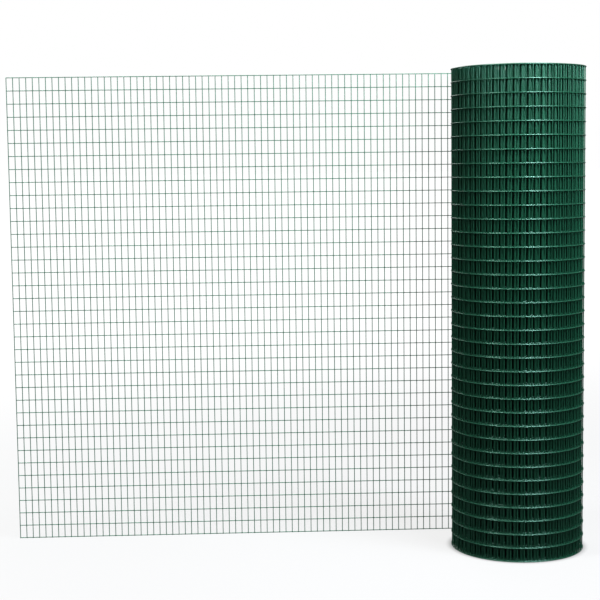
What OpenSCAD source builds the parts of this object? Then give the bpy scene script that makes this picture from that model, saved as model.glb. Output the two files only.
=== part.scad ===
// Roll of welded wire fencing, standing on end, with its free end unrolled into a flat sheet.
// The roll's axis is Z and its foot is at Z = 0. The sheet leaves the back of the roll along -X.

/* [Mesh] */
// Width of the fence, between the middles of its two edge wires
stock_width = 914.4; // [304.8:0.1:1016]
// Spacing of the line wires, which run along the fence
row_pitch = 25.4; // [22:0.1:50.8]
// Spacing of the cross wires, which run up the fence
column_pitch = 12.7; // [6.4:0.1:25.4]
// Diameter of the wire over its vinyl coat
wire_d = 1.5; // [1:0.1:2]
// Depth to which two wires sink into each other at a weld
weld_depth = 0.25; // [0.15:0.05:0.35]

/* [Roll] */
// Outer diameter of the wound roll
roll_d = 250; // [210:1:400]
// Turns of mesh in the roll
turns = 25; // [4:1:28]

/* [Sheet] */
// Columns of cells along the unrolled sheet
sheet_columns = 77; // [23:1:79]

/* [Hidden] */
// Panels that make up the unrolled sheet
panel_count = 8;
// Flat sides of a wire in the sheet
wire_sides = 4;
// Flat sides of a wire in the roll
wound_wire_sides = 8;
roll_facets = 192;
coat_colour = "#0d4a37";

wire_r = wire_d / 2;
// From the middle of a line wire to the middle of a cross wire that it is welded to
weld_spacing = wire_d - weld_depth;
// From one turn to the next: a line wire with its cross wire under it
turn_pitch = wire_d + weld_spacing;
// Rows of cells up the fence
rows = round(stock_width / row_pitch);
mesh_height = rows * row_pitch + wire_d;
roll_r = roll_d / 2;
// Outside of the outer turn's cross wires
wall_r = roll_r - weld_spacing;
bore_r = roll_r - turns * turn_pitch;
// The sheet's cross wires lie against the back of the roll, with the line wires behind them
cross_wire_y = roll_r + wire_r;
line_wire_y = cross_wire_y + weld_spacing;
sheet_wires = sheet_columns + 1;

function panel_name(panel) = str("sheet_panel_", panel);
function row_height(row) = wire_r + row * row_pitch;
function wire_place(wire) = -wire * column_pitch;
function turn_radius(turn) = roll_r - wire_r - turn * turn_pitch;
// The cross wires are shared out among the panels as evenly as they go
function first_wire(panel) = floor((panel - 1) * sheet_wires / panel_count);
// Panels meet midway between two cross wires, and the sheet's two ends are flush with its end wires
function panel_edge(wire) =
    wire == 0 ? wire_r
    : wire == sheet_wires ? wire_place(sheet_columns) - wire_r
    : wire_place(wire) + column_pitch / 2;

// Section of a wire whose opposite flat sides are a wire diameter apart and face along X and Y
module wire_section(sides) {
    rotate(180 / sides)
        circle(r = wire_r / cos(180 / sides), $fn = sides);
}

// Straight wire along Z
module wire(length) {
    linear_extrude(height = length) wire_section(wire_sides);
}

module cross_wire(wire) {
    translate([wire_place(wire), cross_wire_y, 0]) wire(mesh_height);
}

module line_wire(row, right, left) {
    translate([right, line_wire_y, row_height(row)])
        rotate([0, -90, 0]) wire(right - left);
}

// Section of a line wire in one turn of the roll
module wound_wire(turn, row) {
    translate([turn_radius(turn), row_height(row)]) wire_section(wound_wire_sides);
}

// The wound turns as one ring. The outer turn's line wires stand proud of its wall, on the cross wires
// that they are welded to, and the edge wires of all turns stand out of both ends.
module roll() {
    color(coat_colour)
    rotate_extrude($fn = roll_facets) {
        translate([bore_r, wire_r])
            square([wall_r - bore_r, mesh_height - wire_d]);
        for (row = [0 : rows]) wound_wire(0, row);
        for (turn = [1 : turns - 1], edge = [0, rows]) wound_wire(turn, edge);
    }
}

// One panel of the flat sheet, its wires fused at every weld
module sheet_panel(panel) {
    first = first_wire(panel);
    next = first_wire(panel + 1);
    color(coat_colour)
    union() {
        for (wire = [first : next - 1]) cross_wire(wire);
        for (row = [0 : rows]) line_wire(row, panel_edge(first), panel_edge(next));
    }
}

roll();
for (panel = [1 : panel_count])
    sheet_panel(panel);
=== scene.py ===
"""Roll of welded wire fencing with its free end unrolled into a flat sheet, shown in a plain studio.

Every wire is a tube worked out as one array: rings of vertices along the wire's middle line.
The wound turns follow a spiral, and the sheet leaves the spiral at the back of the roll.
"""

import math

import bpy
import numpy as np
from bpy.props import FloatProperty, FloatVectorProperty, IntProperty, PointerProperty
from mathutils import Matrix, Vector


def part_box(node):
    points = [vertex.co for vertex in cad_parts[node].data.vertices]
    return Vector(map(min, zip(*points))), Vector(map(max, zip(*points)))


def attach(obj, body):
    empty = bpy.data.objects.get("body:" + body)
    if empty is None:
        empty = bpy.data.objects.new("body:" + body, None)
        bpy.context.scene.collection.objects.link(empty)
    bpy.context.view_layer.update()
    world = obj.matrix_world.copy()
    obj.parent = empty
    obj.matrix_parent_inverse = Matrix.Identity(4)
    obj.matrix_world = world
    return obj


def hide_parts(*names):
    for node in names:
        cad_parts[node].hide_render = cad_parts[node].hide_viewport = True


bl_info = {
    "name": "Welded Wire Fencing Roll",
    "version": (1, 0, 0),
    "blender": (4, 5, 0),
    "location": "View3D > Sidebar > Fencing",
    "description": "Winds a roll of welded wire fencing and unrolls its free end into a flat sheet",
    "category": "Object",
}

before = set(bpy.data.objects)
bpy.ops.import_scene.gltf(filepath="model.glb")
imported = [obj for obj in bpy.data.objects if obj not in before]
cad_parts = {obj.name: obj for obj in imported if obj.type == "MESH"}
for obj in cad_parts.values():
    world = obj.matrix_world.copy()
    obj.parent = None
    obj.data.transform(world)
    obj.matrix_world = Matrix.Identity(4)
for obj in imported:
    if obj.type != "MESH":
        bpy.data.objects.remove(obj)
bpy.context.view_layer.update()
BODY = "root"
ROLL_NODE = "roll"
SHEET_NODES = sorted(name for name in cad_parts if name.startswith("sheet_panel_"))

MM = 0.001
ROLL_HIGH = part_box(ROLL_NODE)[1]
ROLL_RADIUS = ROLL_HIGH.x
ROLL_HEIGHT = ROLL_HIGH.z
SHEET_BOXES = [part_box(name) for name in SHEET_NODES]
SHEET_LEFT = min(low.x for low, high in SHEET_BOXES)
SHEET_RIGHT = max(high.x for low, high in SHEET_BOXES)
SHEET_FRONT = min(low.y for low, high in SHEET_BOXES)
SHEET_BACK = max(high.y for low, high in SHEET_BOXES)
# The sheet's first cross wire stands at X = 0, and the sheet's right edge is flush with it.
WIRE_DIAMETER = 2 * SHEET_RIGHT

# Three rings at a weld, before it, on it and past it, and how far the coat is swollen at each.
WELD_RING_SIDES = np.array([-1.0, 0.0, 1.0])
WELD_RING_SWELLS = np.array([0.0, 1.0, 0.0])
# Start of the random strays of the wound cross wires.
STRAY_SEED = 1
# Slow waves along the winding: radians of wave for each radian wound, phase, and share of the whole.
SKEW_WAVES = np.array([[0.05, 0.0, 0.7], [0.17, 2.1, 0.2], [0.61, 4.4, 0.1]])
LIFT_WAVES = np.array([[0.31, 1.9, 0.6], [0.83, 0.2, 0.4]])
# The spiral's length is summed over more turns than the roll has, in fine steps.
SUMMED_TURNS = 30
STEPS_A_TURN = 2000

# Noises on the coat: features a metre and octaves of detail.
MOTTLE_NOISE = (38, 4)
PATCH_NOISE = (120, 3)
RIPPLE_NOISE = (260, 2)
# How much a wire's own tone adds to the mottle, and a weld to the share of the deep colour.
TONE_SHARE = 0.5
WELD_SHARE = 0.5
# The mottle with its tone goes from dark to light, and takes the deep colour's share down with it.
MOTTLE_SPAN = (0.35, 1.15)
DEEP_SPAN = (0.45, 0.0)
# The stretch of the patch noise over which the coat goes from smooth to dull.
PATCH_SPAN = (0.3, 0.7)
RIPPLE_STRENGTH = 0.2
RIPPLE_DEPTH = 0.01 * MM
# Sockets of a Mix node that mixes colours.
MIX_FACTOR, MIX_FIRST, MIX_SECOND, MIX_RESULT = 0, 6, 7, 2

WHITE = (1, 1, 1, 1)
# Half the floor's width, and the floor's finish.
FLOOR_REACH = 150.0
FLOOR_GLOSS = 0.1
FLOOR_ROUGHNESS = 0.8
# Distances from the roll's axis between which the floor turns from its glow to white.
GLOW_SPAN = (0.6, 4.0)
# Distances between which the glow sets in round the bottom of the roll, as shares of the roll's radius:
# the glow is held back just outside the roll, which paints a contact shadow on the floor there.
FOOT_SHADOW_SHARES = (0.9, 1.12)
COOL_TINT = (0.94, 1, 1.08)
PLAIN_TINT = (1, 1, 1)
# Heights on the roll's axis that the lamps face.
UPPER_AIM = 0.75
MIDDLE_AIM = 0.6 * ROLL_HEIGHT
# Where each lamp stands, the height that it faces, its own width and height, and its tint.
LAMPS = {
    "key": ((0.16, -0.57, 1.09), UPPER_AIM, (0.2, 0.12), COOL_TINT),
    "left": ((-1.56, -0.73, 2.9), MIDDLE_AIM, (0.35, 2.4), PLAIN_TINT),
    "right": ((1.16, -1.08, 3.0), MIDDLE_AIM, (0.7, 2.4), COOL_TINT),
    "back": ((-0.9, 2.4, 2.0), MIDDLE_AIM, (1.6, 1.0), PLAIN_TINT),
}
# Width of the camera's sensor, in millimetres, and how far the camera sees, in metres.
SENSOR_WIDTH = 36
SIGHT_LIMIT = 1000


class FencingSizes(bpy.types.PropertyGroup):
    """Sizes of the fencing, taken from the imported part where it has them."""

    wire_diameter: FloatProperty(
        name="Wire diameter",
        description="Diameter of a wire over its vinyl coat",
        default=WIRE_DIAMETER,
        unit="LENGTH",
    )
    row_pitch: FloatProperty(
        name="Row pitch",
        description="Spacing of the line wires, which run along the fence",
        default=25.4 * MM,
        unit="LENGTH",
    )
    column_pitch: FloatProperty(
        name="Column pitch",
        description="Spacing of the cross wires, which run up the fence",
        default=12.7 * MM,
        unit="LENGTH",
    )
    stock_length: FloatProperty(
        name="Stock length",
        description="Length of the whole fence, the roll and the sheet together",
        default=15.24,
        unit="LENGTH",
    )
    weld_swell: FloatProperty(
        name="Weld swell",
        description="Share by which the coat thickens a wire at a weld",
        default=0.05,
        subtype="FACTOR",
    )
    weld_reach: FloatProperty(
        name="Weld reach",
        description="Distance from a weld at which the coat is back to its own thickness",
        default=2.2 * MM,
        unit="LENGTH",
    )
    cut_end: FloatProperty(
        name="Cut end",
        description="Length over which a cut end is rounded by its coat",
        default=0.3 * MM,
        unit="LENGTH",
    )
    cut_share: FloatProperty(
        name="Cut end share",
        description="Radius of a wire's end face as a share of the wire's radius",
        default=0.7,
        subtype="FACTOR",
    )
    winding_slack: FloatProperty(
        name="Winding slack",
        description="How far the wound turns stand off the line that the sheet sets",
        default=0.16 * MM,
        unit="LENGTH",
    )
    winding_gap: FloatProperty(
        name="Winding gap",
        description="Space left between one turn and the next",
        default=0.01 * MM,
        unit="LENGTH",
    )
    wire_stray: FloatProperty(
        name="Wire stray",
        description="Furthest that a wound cross wire was welded from its place",
        default=0.4 * MM,
        unit="LENGTH",
    )
    winding_skew: FloatProperty(
        name="Winding skew",
        description="Furthest that a wound cross wire's ends lean to either side",
        default=1.2 * MM,
        unit="LENGTH",
    )
    winding_lift: FloatProperty(
        name="Winding lift",
        description="Furthest that an inner turn stands above the floor",
        default=1.6 * MM,
        unit="LENGTH",
    )


class FencingDetail(bpy.types.PropertyGroup):
    """Sides of the tubes and the places where the winding is split into pieces."""

    round_sides: IntProperty(
        name="Round sides",
        description="Sides of the wires that show",
        default=8,
        min=3,
        subtype="UNSIGNED",
    )
    hidden_sides: IntProperty(
        name="Hidden sides",
        description="Sides of the line wires deep in the roll",
        default=4,
        min=3,
        subtype="UNSIGNED",
    )
    outer_cells: IntProperty(
        name="Outer cells",
        description="Cells up to the end of the outermost turn, whose welds are modelled",
        default=62,
        min=1,
        subtype="UNSIGNED",
    )
    middle_cells: IntProperty(
        name="Middle cells",
        description="Cells up to the end of the turns under it, whose line wires are round too",
        default=182,
        min=1,
        subtype="UNSIGNED",
    )
    split_cells: IntProperty(
        name="Split cells",
        description="Cells up to where the line wires of the deep turns are divided into two pieces",
        default=610,
        min=1,
        subtype="UNSIGNED",
    )


class CoatFinish(bpy.types.PropertyGroup):
    """Colours and gloss of the vinyl coat."""

    colour: FloatVectorProperty(
        name="Coat colour",
        description="Colour of most of the roll's coat",
        default=(0.0042, 0.0555, 0.027),
        size=3,
        subtype="COLOR",
    )
    deep_colour: FloatVectorProperty(
        name="Deep colour",
        description="Colour of the roll's coat where it is thick, as at a weld",
        default=(0.0023, 0.031, 0.015),
        size=3,
        subtype="COLOR",
    )
    # Painted light: the sheet is the same vinyl as the roll, and its colour is painted lighter to stand
    # in for the light that the open sheet gets.
    sheet_lit_colour: FloatVectorProperty(
        name="Sheet colour",
        description="Colour of most of the sheet's coat, which looks lighter than the roll's",
        default=(0.009, 0.13, 0.067),
        size=3,
        subtype="COLOR",
    )
    # Painted lighter in the same way, as painted light on the sheet's thick coat.
    sheet_lit_deep_colour: FloatVectorProperty(
        name="Sheet deep colour",
        description="Colour of the sheet's coat where it is thick, as at a weld",
        default=(0.006, 0.088, 0.045),
        size=3,
        subtype="COLOR",
    )
    smooth_roughness: FloatProperty(
        name="Smooth roughness",
        description="Roughness of the glossiest coat",
        default=0.31,
        subtype="FACTOR",
    )
    dull_roughness: FloatProperty(
        name="Dull roughness",
        description="Roughness of the dullest coat",
        default=0.36,
        subtype="FACTOR",
    )
    refraction: FloatProperty(
        name="Refraction",
        description="Refractive index of the vinyl",
        default=1.52,
    )
    gloss: FloatProperty(
        name="Gloss",
        description="Strength of the coat's reflections",
        default=0.75,
        subtype="FACTOR",
    )
    gloss_tint: FloatVectorProperty(
        name="Gloss tint",
        description="Tint of the coat's reflections",
        default=(0.55, 1, 0.85),
        size=3,
        subtype="COLOR",
    )


class StudioSettings(bpy.types.PropertyGroup):
    """Floor, light and camera."""

    floor_colour: FloatVectorProperty(
        name="Floor colour",
        description="Colour of the floor",
        default=(0.08, 0.08, 0.08),
        size=3,
        subtype="COLOR",
    )
    floor_glow: FloatProperty(
        name="Floor glow",
        description="Brightness that the floor has of itself close to the fencing",
        default=0.78,
        subtype="FACTOR",
    )
    dome_strength: FloatProperty(
        name="Dome strength",
        description="Strength of the soft light from all round",
        default=0.3,
        subtype="FACTOR",
    )
    key_power: FloatProperty(
        name="Key power",
        description="Power of the small lamp close in front of the roll's top",
        default=9.2,
        unit="POWER",
    )
    left_power: FloatProperty(
        name="Left power",
        description="Power of the tall, narrow lamp high up at the left",
        default=84.0,
        unit="POWER",
    )
    right_power: FloatProperty(
        name="Right power",
        description="Power of the tall, wider lamp high up at the right",
        default=138.0,
        unit="POWER",
    )
    back_power: FloatProperty(
        name="Back power",
        description="Power of the weak lamp behind the sheet",
        default=24.0,
        unit="POWER",
    )
    camera_place: FloatVectorProperty(
        name="Camera place",
        description="Where the camera stands",
        default=(-0.5135, -2.619, 0.736),
        size=3,
        subtype="TRANSLATION",
    )
    camera_heading: FloatProperty(
        name="Camera heading",
        description="Turn of the camera from +Y towards -X",
        default=-0.0375,
        subtype="ANGLE",
    )
    camera_dip: FloatProperty(
        name="Camera dip",
        description="Angle by which the camera looks below the horizon",
        default=0.0959,
        subtype="ANGLE",
    )
    camera_roll: FloatProperty(
        name="Camera roll",
        description="Clockwise turn of the camera about its line of sight",
        default=0.0123,
        subtype="ANGLE",
    )
    camera_lens: FloatProperty(
        name="Lens",
        description="Focal length of the camera",
        default=83.12,
        unit="CAMERA",
    )


class MeshLayout:
    """Sizes that follow from the fencing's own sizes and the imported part."""

    def __init__(self, sizes):
        self.wire_radius = sizes.wire_diameter / 2
        self.weld_swell = sizes.weld_swell
        self.column_pitch = sizes.column_pitch
        self.height = ROLL_HEIGHT
        self.rows = round((self.height - sizes.wire_diameter) / sizes.row_pitch)
        self.row_heights = self.wire_radius + sizes.row_pitch * np.arange(self.rows + 1)
        self.columns = round((-SHEET_LEFT - self.wire_radius) / sizes.column_pitch)
        self.turn_pitch = SHEET_BACK - SHEET_FRONT + sizes.winding_gap
        self.cross_start = SHEET_FRONT + self.wire_radius
        self.line_start = SHEET_BACK - self.wire_radius
        self.wound_cells = round(sizes.stock_length / sizes.column_pitch) - self.columns
        shifts = np.random.default_rng(STRAY_SEED).uniform(-1, 1, self.wound_cells + 1)
        self.strays = shifts * sizes.wire_stray / sizes.column_pitch
        self.winding_slack = sizes.winding_slack
        self.steps = np.linspace(0, 2 * np.pi * SUMMED_TURNS, SUMMED_TURNS * STEPS_A_TURN + 1)
        radii = self.line_start - self.fall(self.steps)
        lengths = np.cumsum((radii[1:] + radii[:-1]) / 2 * np.diff(self.steps))
        self.lengths = np.append(0, lengths)

    def angles(self, cells):
        """Angle wound after a number of cells, from the back of the roll towards +X.

        The length wound is the radius summed over the angle, and the angle is read off that sum.
        """
        return np.interp(cells * self.column_pitch, self.lengths, self.steps)

    def welded_at(self, cells):
        """Where the cross wires of these cells were welded, in cells: each strays a little."""
        return cells + self.strays[cells]

    def fall(self, angles):
        """How far the spiral has fallen inwards: a turn pitch a turn, less the slack, eased in."""
        return self.turn_pitch * angles / (2 * np.pi) - self.winding_slack * (1 - np.exp(-angles))

    def swollen_radii(self, swell):
        """Radius of a wire at rings of this swell: its own, and the weld's share more at a swell of 1."""
        return self.wire_radius * (1 + self.weld_swell * swell)


def waves(angles, table):
    """Sum of sines along the winding, each with its own share, eased in over the first turn."""
    rates, phases, shares = table.T
    eased = 1 - np.exp(-angles / (2 * np.pi))
    return eased * (shares * np.sin(np.multiply.outer(angles, rates) + phases)).sum(-1)


def lift_of(angles, sizes):
    """Height of a turn above the floor: a slow wave between zero and the winding lift."""
    return sizes.winding_lift * np.abs(waves(angles, LIFT_WAVES))


def ring(sides):
    """Cosine and sine of the corners round a wire of radius one.

    The corners are moved out, so that the circle lies between them and the middles of the sides.
    """
    corners = 2 * np.pi * (np.arange(sides) + 0.5) / sides
    stretch = 1 / math.sqrt(math.cos(math.pi / sides))
    return stretch * np.cos(corners), stretch * np.sin(corners)


def weld_rings(welds, reach):
    """Places of the three rings at each weld, a reach apart, and the swell of the coat at each."""
    places = np.add.outer(welds, reach * WELD_RING_SIDES).ravel()
    return places, np.tile(WELD_RING_SWELLS, len(welds))


def cross_wire_profile(layout, sizes, welded):
    """Heights of the rings up a cross wire, with the radius and the swell at each.

    The two cut ends are drawn in. With welds, the radius swells at every line wire.
    """
    edge = np.array([0, sizes.cut_end])
    if welded:
        inner, inner_swell = weld_rings(layout.row_heights[1:-1], sizes.weld_reach)
        low = np.append(edge, [layout.row_heights[0], layout.row_heights[0] + sizes.weld_reach])
        low_swell = np.array([0, 0, 1, 0])
    else:
        inner, inner_swell = np.empty(0), np.empty(0)
        low = np.append(edge, sizes.cut_end + sizes.wire_diameter)
        low_swell = np.zeros(len(low))
    heights = np.concatenate([low, inner, layout.height - low[::-1]])
    swell = np.concatenate([low_swell, inner_swell, low_swell[::-1]])
    radii = layout.swollen_radii(swell)
    radii[[0, -1]] *= sizes.cut_share
    return heights, radii, swell


def standing_tubes(middles, radii, sides):
    """Tubes that stand: each ring is level, at its middle plus radius times cosine and sine."""
    cosines, sines = ring(sides)
    reach = radii[:, None]
    offsets = np.stack([reach * cosines, reach * sines, 0 * reach * cosines], -1)
    return middles[:, :, None, :] + offsets


def wound_cross_wires(layout, sizes, cells, welded, sides):
    """Cross wires of the wound turns, one at each cell number, and the swell of their rings.

    A wire stands at its angle on the spiral, just inside the line wires. It leans by the skew of
    its turn, so that its angle changes evenly with height, and it stands as high as its turn.
    """
    heights, radii, swell = cross_wire_profile(layout, sizes, welded)
    angles = layout.angles(layout.welded_at(cells))
    distance = layout.cross_start - layout.fall(angles)
    lean = sizes.winding_skew * waves(angles, SKEW_WAVES) / distance
    turned = angles[:, None] + np.multiply.outer(lean, 2 * heights / layout.height - 1)
    lifted = heights + lift_of(angles, sizes)[:, None]
    away = distance[:, None]
    middles = np.stack([away * np.sin(turned), away * np.cos(turned), lifted], -1)
    return standing_tubes(middles, radii, sides), swell


def wound_line_wires(layout, sizes, cells, swell, row_heights, sides):
    """Line wires of the wound turns, one for each row, with a ring at each cell number.

    A ring stands in the upright plane through the roll's axis: its distance from the axis is the
    spiral's plus radius times cosine, and its height is the row's and the turn's lift plus radius
    times sine.
    """
    cosines, sines = ring(sides)
    reach = layout.swollen_radii(swell)[:, None]
    angles = layout.angles(cells)
    away = (layout.line_start - layout.fall(angles))[:, None] + reach * cosines
    spots = np.stack([away * np.sin(angles)[:, None], away * np.cos(angles)[:, None]], -1)
    lifts = lift_of(angles, sizes)[:, None] + reach * sines
    levels = np.add.outer(row_heights, lifts)
    spots = np.broadcast_to(spots, (len(row_heights), *spots.shape))
    return np.concatenate([spots, levels[..., None]], -1), swell


def laid_cross_wires(layout, sizes, places, sides):
    """Straight cross wires of the sheet, one at each place along X, and the swell of their rings.

    A wire stands upright at its place, just in front of the line wires.
    """
    heights, radii, swell = cross_wire_profile(layout, sizes, True)
    shape = (len(places), len(heights))
    along = np.broadcast_to(places[:, None], shape)
    across = np.full(shape, layout.cross_start)
    middles = np.stack([along, across, np.broadcast_to(heights, shape)], -1)
    return standing_tubes(middles, radii, sides), swell


def laid_line_wires(layout, sizes, places, sides):
    """Straight line wires of the sheet, one for each row, with three rings at each cross wire's place.

    A ring stands across the wire, at radius times cosine behind and radius times sine above it. The
    left end is cut and drawn in, and the right end meets the outermost turn.
    """
    stations, swell = weld_rings(places, -sizes.weld_reach)
    cut = np.array([SHEET_LEFT + sizes.cut_end, SHEET_LEFT])
    stations = np.concatenate([stations[1:-1], cut])
    swell = np.concatenate([swell[1:-1], np.zeros(len(cut))])
    radii = layout.swollen_radii(swell)
    radii[-1] *= sizes.cut_share
    cosines, sines = ring(sides)
    shape = (len(layout.row_heights), len(stations), sides)
    along = np.broadcast_to(stations[:, None], shape)
    across = np.broadcast_to(layout.line_start + radii[:, None] * cosines, shape)
    levels = np.add.outer(layout.row_heights, radii[:, None] * sines)
    return np.stack([along, across, levels], -1), swell


def tube_faces(tubes, rings, sides):
    """Quads between neighbouring rings, and a cap at each end, as corner numbers.

    Vertices are numbered ring by ring and tube by tube. The next corner round a ring is one on,
    and the same corner of the next ring is as many on as the tube has sides.
    """
    firsts = sides * np.arange(tubes * rings).reshape(tubes, rings)
    corners = np.arange(sides)
    here = firsts[:, :-1, None] + corners
    beside = firsts[:, :-1, None] + np.roll(corners, -1)
    quads = np.stack([here, beside, beside + sides, here + sides], -1).reshape(-1, 4)
    bottoms = firsts[:, 0, None] + corners[::-1]
    tops = firsts[:, -1, None] + corners
    return quads, np.concatenate([bottoms, tops])


def signed_volume(points, quads):
    """Six times the volume that the quads enclose, which is over 0 if they face out.

    It is the sum of a times (b cross c plus c cross d) over the corners a, b, c and d of each quad.
    """
    a, b, c, d = (points[quads[:, i]] for i in range(4))
    return np.einsum("ij,ij->i", a, np.cross(b, c) + np.cross(c, d)).sum()


def tube_arrays(tubes, swell, rng):
    """Points, walls and caps of like tubes, with the weld and the tone at each point.

    The weld is the swell of the point's ring, and the tone is one random number for each tube.
    """
    number, rings, sides, _ = tubes.shape
    points = tubes.reshape(-1, 3)
    walls, caps = tube_faces(number, rings, sides)
    if signed_volume(points - points.mean(0), walls) < 0:
        walls, caps = walls[:, ::-1], caps[:, ::-1]
    weld = np.tile(np.repeat(swell, sides), number)
    tone = np.repeat(rng.random(number), rings * sides)
    return points, walls, caps, weld, tone


def make_mesh(name, points, walls, caps):
    """Mesh of the points, with smooth walls and flat caps, each a list of arrays of corner numbers."""
    faces = walls + caps
    loops = np.concatenate([x.ravel() for x in faces])
    totals = np.concatenate([np.full(len(x), x.shape[1]) for x in faces])
    starts = np.concatenate([[0], np.cumsum(totals)[:-1]])
    smooth = np.arange(len(totals)) < sum(len(x) for x in walls)
    mesh = bpy.data.meshes.new(name)
    mesh.vertices.add(len(points))
    mesh.loops.add(len(loops))
    mesh.polygons.add(len(totals))
    mesh.vertices.foreach_set("co", points.astype(np.float32).ravel())
    mesh.loops.foreach_set("vertex_index", loops.astype(np.int32))
    mesh.polygons.foreach_set("loop_start", starts.astype(np.int32))
    mesh.polygons.foreach_set("use_smooth", smooth)
    mesh.update(calc_edges=True)
    if mesh.validate(verbose=False):
        raise RuntimeError(f"{name} has faces that can't be built")
    return mesh


def make_piece(name, groups, material, replaced):
    """One mesh of many closed tubes, which rides on the part's body.

    Each group is an array of tubes, rings, sides and places, with the swell at each ring. The points
    of a group are numbered on from those of the groups before it.
    """
    rng = np.random.default_rng(len(groups[0][0]))
    arrays = [tube_arrays(tubes, swell, rng) for tubes, swell in groups]
    points, walls, caps, welds, tones = zip(*arrays)
    firsts = np.cumsum([0] + [len(x) for x in points[:-1]])
    walls = [x + first for x, first in zip(walls, firsts)]
    caps = [x + first for x, first in zip(caps, firsts)]
    mesh = make_mesh(name, np.concatenate(points), walls, caps)
    for key, values in (("weld", welds), ("tone", tones)):
        attribute = mesh.attributes.new(key, "FLOAT", "POINT")
        attribute.data.foreach_set("value", np.concatenate(values).astype(np.float32))
    mesh.materials.append(material)
    piece = bpy.data.objects.new(name, mesh)
    bpy.context.scene.collection.objects.link(piece)
    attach(piece, BODY)
    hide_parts(*replaced)
    return piece


def link(tree, source, output, target, socket):
    """Joins one node's output to another's input."""
    tree.links.new(source.outputs[output], target.inputs[socket])


def noise_node(tree, place, noise):
    """Noise on Object coordinates, with its features a metre and its octaves of detail."""
    node = tree.nodes.new("ShaderNodeTexNoise")
    node.inputs["Scale"].default_value, node.inputs["Detail"].default_value = noise
    link(tree, place, "Object", node, "Vector")
    return node


def span_node(tree, source, output, taken, given):
    """Maps an output evenly from the span that is taken to the span that is given."""
    node = tree.nodes.new("ShaderNodeMapRange")
    node.inputs["From Min"].default_value, node.inputs["From Max"].default_value = taken
    node.inputs["To Min"].default_value, node.inputs["To Max"].default_value = given
    link(tree, source, output, node, "Value")
    return node


def added_node(tree, key, share, source, output):
    """A share of one of the mesh's attributes, added to an output."""
    attribute = tree.nodes.new("ShaderNodeAttribute")
    attribute.attribute_name = key
    node = tree.nodes.new("ShaderNodeMath")
    node.operation = "MULTIPLY_ADD"
    node.inputs[1].default_value = share
    link(tree, attribute, "Fac", node, 0)
    link(tree, source, output, node, 2)
    return node


def product_node(tree, first, first_output, second, second_output):
    """Product of two outputs."""
    node = tree.nodes.new("ShaderNodeMath")
    node.operation = "MULTIPLY"
    link(tree, first, first_output, node, 0)
    link(tree, second, second_output, node, 1)
    return node


def coat_material(name, thin, thick, finish):
    """Glossy green vinyl: mottled colour, deeper where thick, uneven gloss and a fine ripple.

    It is made once, and then shared by all pieces with this finish.
    """
    found = bpy.data.materials.get(name)
    if found:
        return found
    material = bpy.data.materials.new(name)
    material.use_nodes = True
    tree = material.node_tree
    shader = tree.nodes["Principled BSDF"]
    shader.inputs["IOR"].default_value = finish.refraction
    shader.inputs["Specular IOR Level"].default_value = finish.gloss
    shader.inputs["Specular Tint"].default_value = (*finish.gloss_tint, 1)
    place = tree.nodes.new("ShaderNodeTexCoord")

    mottle = noise_node(tree, place, MOTTLE_NOISE)
    toned = added_node(tree, "tone", TONE_SHARE, mottle, "Fac")
    shaded = span_node(tree, toned, "Value", MOTTLE_SPAN, DEEP_SPAN)
    depth = added_node(tree, "weld", WELD_SHARE, shaded, "Result")
    colour = tree.nodes.new("ShaderNodeMix")
    colour.data_type = "RGBA"
    colour.inputs[MIX_FIRST].default_value = (*thin, 1)
    colour.inputs[MIX_SECOND].default_value = (*thick, 1)
    link(tree, depth, "Value", colour, MIX_FACTOR)
    link(tree, colour, MIX_RESULT, shader, "Base Color")

    patches = noise_node(tree, place, PATCH_NOISE)
    roughnesses = (finish.smooth_roughness, finish.dull_roughness)
    roughness = span_node(tree, patches, "Fac", PATCH_SPAN, roughnesses)
    link(tree, roughness, "Result", shader, "Roughness")

    ripple = noise_node(tree, place, RIPPLE_NOISE)
    bump = tree.nodes.new("ShaderNodeBump")
    bump.inputs["Strength"].default_value = RIPPLE_STRENGTH
    bump.inputs["Distance"].default_value = RIPPLE_DEPTH
    link(tree, ripple, "Fac", bump, "Height")
    link(tree, bump, "Normal", shader, "Normal")
    return material


def roll_coat(finish):
    """Coat of the wound turns."""
    return coat_material("roll_coat", finish.colour, finish.deep_colour, finish)


def sheet_coat(finish):
    """Coat of the flat sheet: the roll's own vinyl, painted lighter to stand in for the light that the
    open sheet gets.
    """
    return coat_material("sheet_coat", finish.sheet_lit_colour, finish.sheet_lit_deep_colour, finish)


def settings_of(context):
    """The sizes, detail, layout and finish that every fencing operator reads."""
    scene = context.scene
    sizes = scene.fencing_sizes
    return sizes, scene.fencing_detail, MeshLayout(sizes), scene.coat_finish


class FENCING_OT_outer_turn(bpy.types.Operator):
    """Winds the outermost turn, whose coat swells at every weld."""

    bl_idname = "fencing.outer_turn"
    bl_label = "Wind Outer Turn"

    def execute(self, context):
        sizes, detail, layout, finish = settings_of(context)
        material = roll_coat(finish)
        sides = detail.round_sides
        cells = np.arange(detail.outer_cells + 1)
        cross = wound_cross_wires(layout, sizes, cells[1:], True, sides)
        make_piece("outer_turn_cross_wires", [cross], material, [ROLL_NODE])
        reach = sizes.weld_reach / layout.column_pitch
        stations, swell = weld_rings(layout.welded_at(cells), reach)
        line = wound_line_wires(layout, sizes, stations[1:-1], swell[1:-1], layout.row_heights, sides)
        make_piece("outer_turn_line_wires", [line], material, [ROLL_NODE])
        return {"FINISHED"}


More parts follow.
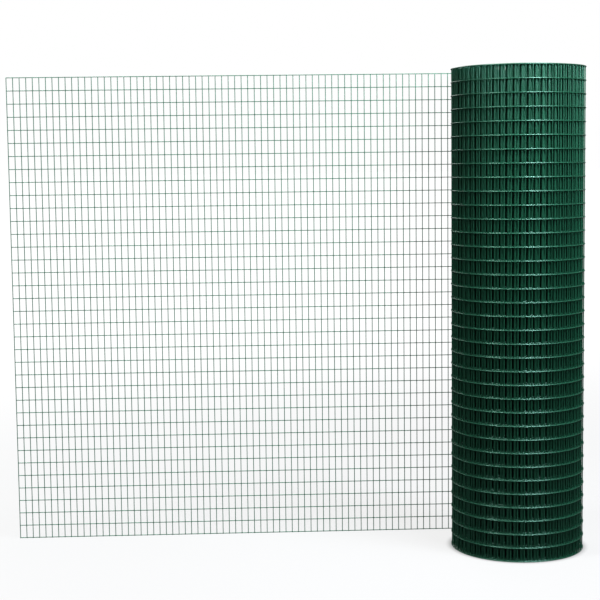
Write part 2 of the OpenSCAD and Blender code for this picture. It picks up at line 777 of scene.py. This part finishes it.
class FENCING_OT_inner_turns(bpy.types.Operator):
    """Winds the turns under the outermost one, down to the open core."""

    bl_idname = "fencing.inner_turns"
    bl_label = "Wind Inner Turns"

    def execute(self, context):
        sizes, detail, layout, finish = settings_of(context)
        material = roll_coat(finish)
        cells = np.arange(detail.outer_cells + 1, layout.wound_cells + 1)
        cross = wound_cross_wires(layout, sizes, cells, False, detail.round_sides)
        make_piece("inner_turns_cross_wires", [cross], material, [ROLL_NODE])
        edges = layout.row_heights[[0, -1]]
        between = layout.row_heights[1:-1]
        stretches = (
            ("second_turns_line_wires", detail.outer_cells, detail.middle_cells, detail.round_sides),
            ("middle_turns_line_wires", detail.middle_cells, detail.split_cells, detail.hidden_sides),
            ("core_turns_line_wires", detail.split_cells, layout.wound_cells, detail.hidden_sides),
        )
        for name, first, last, sides in stretches:
            stations = np.arange(first, last + 1)
            swell = np.zeros(len(stations))
            groups = [
                wound_line_wires(layout, sizes, stations, swell, between, sides),
                wound_line_wires(layout, sizes, stations, swell, edges, detail.round_sides),
            ]
            make_piece(name, groups, material, [ROLL_NODE])
        return {"FINISHED"}


class FENCING_OT_sheet(bpy.types.Operator):
    """Lays out the flat sheet that leaves the back of the roll."""

    bl_idname = "fencing.sheet"
    bl_label = "Unroll Sheet"

    def execute(self, context):
        sizes, detail, layout, finish = settings_of(context)
        material = sheet_coat(finish)
        places = -layout.column_pitch * np.arange(layout.columns + 1)
        cross = laid_cross_wires(layout, sizes, places, detail.round_sides)
        make_piece("sheet_cross_wires", [cross], material, SHEET_NODES)
        line = laid_line_wires(layout, sizes, places, detail.round_sides)
        make_piece("sheet_line_wires", [line], material, SHEET_NODES)
        return {"FINISHED"}


class FENCING_OT_studio(bpy.types.Operator):
    """Makes the floor, the lights and the camera."""

    bl_idname = "fencing.studio"
    bl_label = "Set Up Studio"

    def execute(self, context):
        scene = context.scene
        studio = scene.fencing_studio
        make_floor(scene, studio)
        make_dome(scene, studio)
        for name, lamp in LAMPS.items():
            make_lamp(scene, f"{name}_lamp", getattr(studio, f"{name}_power"), *lamp)
        make_camera(scene, studio)
        scene.view_settings.view_transform = "Standard"
        return {"FINISHED"}


def floor_material(studio):
    """Pale floor that glows for the camera alone, more so in the distance, and not under the roll, with a
    painted contact shadow in a narrow ring just round the roll.
    """
    material = bpy.data.materials.new("studio_floor")
    material.use_nodes = True
    tree = material.node_tree
    shader = tree.nodes["Principled BSDF"]
    shader.inputs["Base Color"].default_value = (*studio.floor_colour, 1)
    shader.inputs["Specular IOR Level"].default_value = FLOOR_GLOSS
    shader.inputs["Roughness"].default_value = FLOOR_ROUGHNESS
    shader.inputs["Emission Color"].default_value = WHITE
    place = tree.nodes.new("ShaderNodeTexCoord")
    away = tree.nodes.new("ShaderNodeVectorMath")
    away.operation = "LENGTH"
    link(tree, place, "Object", away, 0)
    glow = span_node(tree, away, "Value", GLOW_SPAN, (studio.floor_glow, 1))
    # The glow fades out towards the roll and stops under it: a painted contact shadow on the floor round
    # the roll.
    foot_shadow_span = [share * ROLL_RADIUS for share in FOOT_SHADOW_SHARES]
    foot_shadow = span_node(tree, away, "Value", foot_shadow_span, (0, 1))
    for node in (glow, foot_shadow):
        node.interpolation_type = "SMOOTHSTEP"
    seen = tree.nodes.new("ShaderNodeLightPath")
    shown = product_node(tree, seen, "Is Camera Ray", glow, "Result")
    # The camera's glow, less the painted contact shadow round the roll.
    clear = product_node(tree, shown, "Value", foot_shadow, "Result")
    link(tree, clear, "Value", shader, "Emission Strength")
    return material


def make_floor(scene, studio):
    """Floor on which the fencing stands, one wide square."""
    corners = FLOOR_REACH * np.array([[-1, -1, 0], [1, -1, 0], [1, 1, 0], [-1, 1, 0]])
    mesh = bpy.data.meshes.new("studio_floor")
    mesh.from_pydata(corners.tolist(), [], [(0, 1, 2, 3)])
    mesh.materials.append(floor_material(studio))
    floor = bpy.data.objects.new("studio_floor", mesh)
    scene.collection.objects.link(floor)


def make_dome(scene, studio):
    """Soft light from all round, which the camera sees as plain white."""
    world = bpy.data.worlds.new("studio_dome")
    scene.world = world
    world.use_nodes = True
    tree = world.node_tree
    tree.nodes.clear()
    light = tree.nodes.new("ShaderNodeBackground")
    light.inputs["Strength"].default_value = studio.dome_strength
    light.inputs["Color"].default_value = WHITE
    seen = tree.nodes.new("ShaderNodeBackground")
    seen.inputs["Color"].default_value = WHITE
    path = tree.nodes.new("ShaderNodeLightPath")
    mix = tree.nodes.new("ShaderNodeMixShader")
    output = tree.nodes.new("ShaderNodeOutputWorld")
    link(tree, path, "Is Camera Ray", mix, "Fac")
    link(tree, light, "Background", mix, 1)
    link(tree, seen, "Background", mix, 2)
    link(tree, mix, "Shader", output, "Surface")


def make_lamp(scene, name, power, place, aim_height, size, tint):
    """Rectangular soft lamp that faces a height on the roll's axis."""
    data = bpy.data.lights.new(name, "AREA")
    data.shape = "RECTANGLE"
    data.size, data.size_y = size
    data.energy = power
    data.color = tint
    lamp = bpy.data.objects.new(name, data)
    lamp.location = place
    lamp.visible_camera = False
    aim = Vector((0, 0, aim_height))
    lamp.rotation_euler = (aim - lamp.location).to_track_quat("-Z", "Y").to_euler()
    scene.collection.objects.link(lamp)


def make_camera(scene, studio):
    """Camera that looks towards +Y, then turns by its heading, dips and rolls."""
    data = bpy.data.cameras.new("studio_camera")
    data.sensor_width = SENSOR_WIDTH
    data.lens = studio.camera_lens
    data.clip_end = SIGHT_LIMIT
    camera = bpy.data.objects.new("studio_camera", data)
    camera.matrix_world = (
        Matrix.Translation(studio.camera_place)
        @ Matrix.Rotation(studio.camera_heading, 4, "Z")
        @ Matrix.Rotation(math.pi / 2 - studio.camera_dip, 4, "X")
        @ Matrix.Rotation(-studio.camera_roll, 4, "Z")
    )
    scene.collection.objects.link(camera)
    scene.camera = camera


class VIEW3D_PT_fencing(bpy.types.Panel):
    """Sidebar panel with the fencing's sizes and its operators."""

    bl_label = "Wire Fencing Roll"
    bl_idname = "VIEW3D_PT_fencing"
    bl_space_type = "VIEW_3D"
    bl_region_type = "UI"
    bl_category = "Fencing"

    def draw(self, context):
        for owner, group in SETTINGS.items():
            box = self.layout.box()
            for key in group.__annotations__:
                box.prop(getattr(context.scene, owner), key)
        for operator in OPERATORS:
            self.layout.operator(operator.bl_idname)


SETTINGS = {
    "fencing_sizes": FencingSizes,
    "fencing_detail": FencingDetail,
    "coat_finish": CoatFinish,
    "fencing_studio": StudioSettings,
}
OPERATORS = (
    FENCING_OT_studio,
    FENCING_OT_outer_turn,
    FENCING_OT_inner_turns,
    FENCING_OT_sheet,
)
CLASSES = (*SETTINGS.values(), *OPERATORS, VIEW3D_PT_fencing)


def register():
    """Registers the classes and hangs the settings on the scene."""
    for cls in CLASSES:
        bpy.utils.register_class(cls)
    for owner, group in SETTINGS.items():
        setattr(bpy.types.Scene, owner, PointerProperty(type=group))


def unregister():
    """Takes the settings off the scene and removes the classes."""
    for owner in SETTINGS:
        delattr(bpy.types.Scene, owner)
    for cls in reversed(CLASSES):
        bpy.utils.unregister_class(cls)


def main():
    """Makes the studio and the fencing."""
    register()
    bpy.ops.fencing.studio()
    bpy.ops.fencing.outer_turn()
    bpy.ops.fencing.inner_turns()
    bpy.ops.fencing.sheet()


if __name__ == "__main__":
    main()
